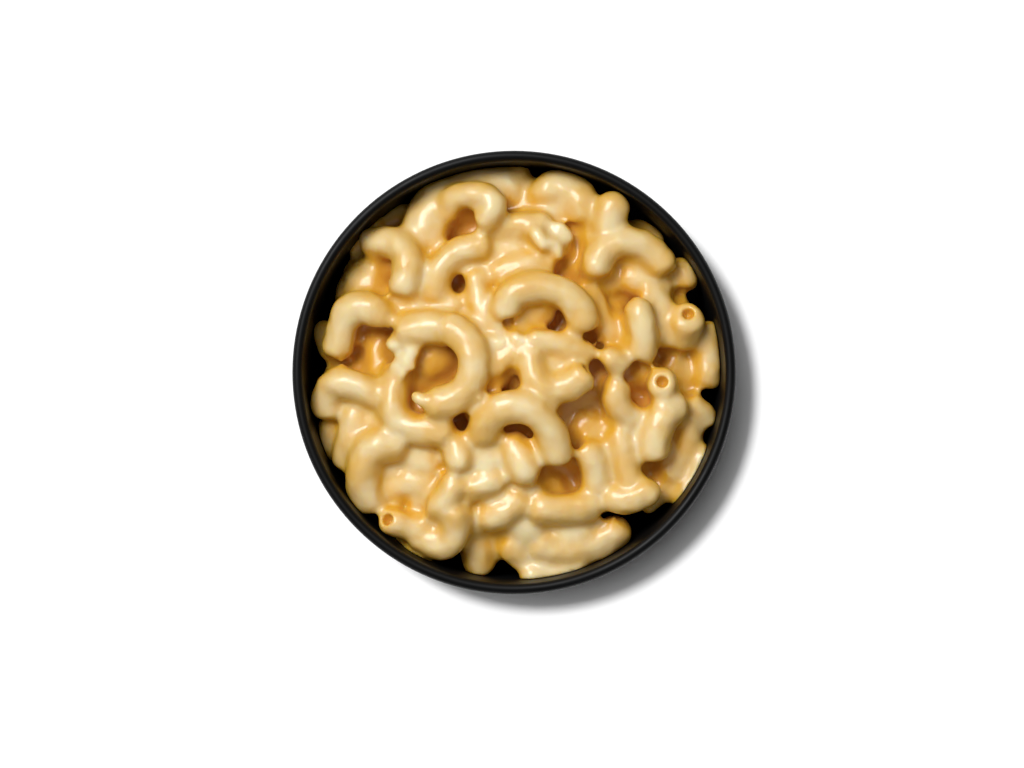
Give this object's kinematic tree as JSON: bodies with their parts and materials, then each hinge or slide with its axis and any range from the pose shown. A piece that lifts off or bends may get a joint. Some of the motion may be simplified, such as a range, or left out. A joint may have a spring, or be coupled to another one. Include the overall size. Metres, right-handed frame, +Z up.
{
  "type": "mac and cheese",
  "caption": "Elbow macaroni in creamy cheese sauce, heaped in a plain round black bowl; a prepared side dish that stands on its flat base.",
  "frame": {"origin": "middle of the bowl's flat underside, on the surface it stands on", "axes": "+Z up out of the bowl; +Y towards the far side of the bowl and +X to the right, as the diner looks down on it"},
  "size_m": [0.125, 0.125, 0.0528],
  "materials": {
    "bowl": "plain black melamine with a satin sheen",
    "macaroni": "cooked elbow pasta in glossy cream-coloured cheese sauce"
  },
  "bodies": {
    "root": {"bowl": "bowl", "macaroni_heap": "macaroni"}
  },
  "joints": []
}
